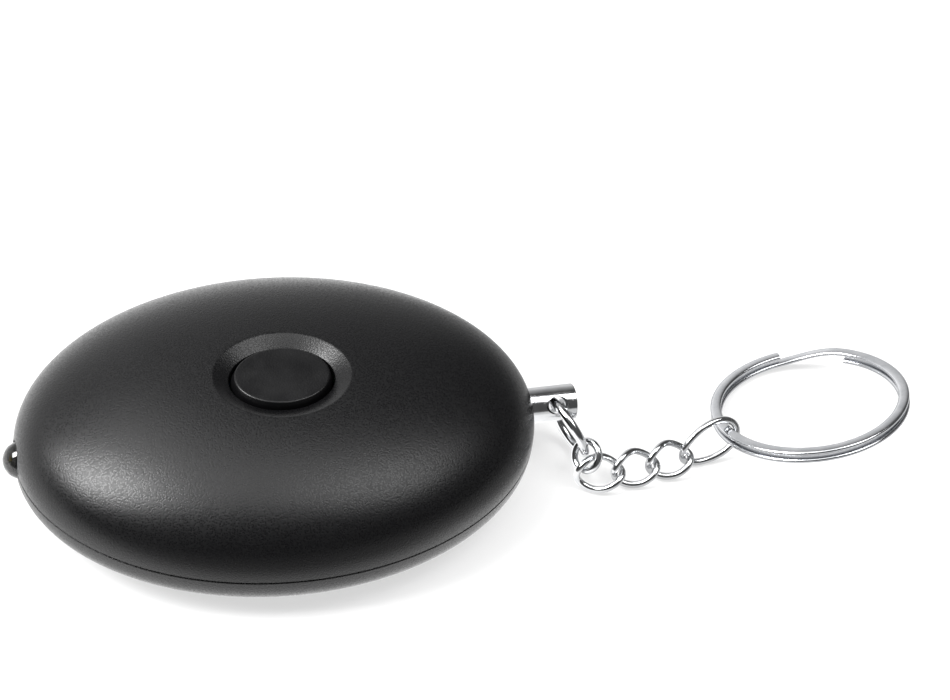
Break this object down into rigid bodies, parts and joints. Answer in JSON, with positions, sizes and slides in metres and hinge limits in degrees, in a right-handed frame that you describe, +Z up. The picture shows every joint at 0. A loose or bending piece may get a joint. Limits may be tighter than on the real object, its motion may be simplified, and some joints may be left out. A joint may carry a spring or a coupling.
{
  "type": "personal safety alarm",
  "caption": "Oval hand-held personal safety alarm with a recessed torch push button, a lamp at its end, and a pull pin on a short curb chain with a split key ring.",
  "frame": {"origin": "centre of the flat base of the oval body", "axes": "+X along the body towards the pull pin and the chain, +Z up through the torch button, lamp at the -X end"},
  "size_m": [0.122, 0.049, 0.0193],
  "materials": {
    "shell": "fine satin moulded texture",
    "button": "satin",
    "clear_lens": "clear",
    "chrome": "polished plating",
    "steel": "plain",
    "brass": "plain",
    "white_part": "matt",
    "foam": "matt",
    "board": "lacquered",
    "black_part": "matt",
    "ferrite": "matt",
    "blue_sleeve": "smooth sleeve",
    "tray": "matt",
    "wire": "soft insulation"
  },
  "bodies": {
    "case": {"upper_shell": "shell", "lower_shell": "shell", "switch_body": "steel", "circuit_board": "board", "driver_chip": "black_part", "transistor": "black_part", "boost_coil": "ferrite", "capacitor": "blue_sleeve", "resistors": "black_part", "led_bulb": "clear_lens", "led_leads": "steel", "piezo_plate": "brass", "piezo_ceramic": "white_part", "piezo_foam": "foam", "button_cells": "steel", "battery_tray": "tray", "contact_plates": "steel", "contact_spring": "steel", "pin_socket": "tray", "contact_leaf_upper": "brass", "contact_leaf_lower": "brass", "case_screws": "steel", "board_screws": "steel", "lead_wires": "wire"},
    "torch_button": {"torch_button": "button", "switch_plunger": "black_part"},
    "pull_pin": {"pull_pin": "chrome", "pin_tip": "white_part"},
    "jump_ring": {"jump_ring": "chrome"},
    "connector_ring": {"connector_ring": "chrome"},
    "chain_link_1": {"chain_link_1": "chrome"},
    "chain_link_2": {"chain_link_2": "chrome"},
    "chain_link_3": {"chain_link_3": "chrome"},
    "end_link": {"end_link": "chrome"},
    "split_ring": {"split_ring": "chrome"}
  },
  "joints": [
    {"name": "button_press", "type": "slide", "parent": "case", "child": "torch_button", "axis": [0, 0, -1], "range_m": [0, 0.0005], "stiffness_N_per_m": 800},
    {"name": "pin_pull", "type": "slide", "parent": "case", "child": "pull_pin", "axis": [1, 0, 0], "range_m": [0, 0.014]},
    {"name": "jump_ring_swing", "type": "hinge", "parent": "pull_pin", "child": "jump_ring", "pos_m": [0.03725, 0, 0.008], "axis": [0, -0.766, 0.6428], "range_deg": [-35, 60]},
    {"name": "connector_ring_swing", "type": "hinge", "parent": "jump_ring", "child": "connector_ring", "pos_m": [0.04089, -0.0046, 0.00252], "axis": [0, -0.766, 0.6428], "range_deg": [-30, 10]},
    {"name": "chain_link_1_swing", "type": "hinge", "parent": "connector_ring", "child": "chain_link_1", "pos_m": [0.04016, -0.00731, 0.00232], "axis": [0.5546, -0.7862, 0.2726], "range_deg": [-40, 10]},
    {"name": "chain_link_2_swing", "type": "hinge", "parent": "chain_link_1", "child": "chain_link_2", "pos_m": [0.0454, -0.0084, 0.00237], "axis": [0.0698, 0.9976, 0], "range_deg": [-35, 40]},
    {"name": "chain_link_3_swing", "type": "hinge", "parent": "chain_link_2", "child": "chain_link_3", "pos_m": [0.0504, -0.00758, 0.00237], "axis": [-0.1392, 0.9903, 0], "range_deg": [-40, 40]},
    {"name": "end_link_swing", "type": "hinge", "parent": "chain_link_3", "child": "end_link", "pos_m": [0.05538, -0.00678, 0.00237], "axis": [-0.1564, 0.9877, 0], "range_deg": [-40, 30]},
    {"name": "split_ring_swing", "type": "hinge", "parent": "end_link", "child": "split_ring", "pos_m": [0.06216, -0.00483, 0.0047], "axis": [-0.376, 0.3988, 0.8364], "range_deg": [-40, 40]}
  ]
}
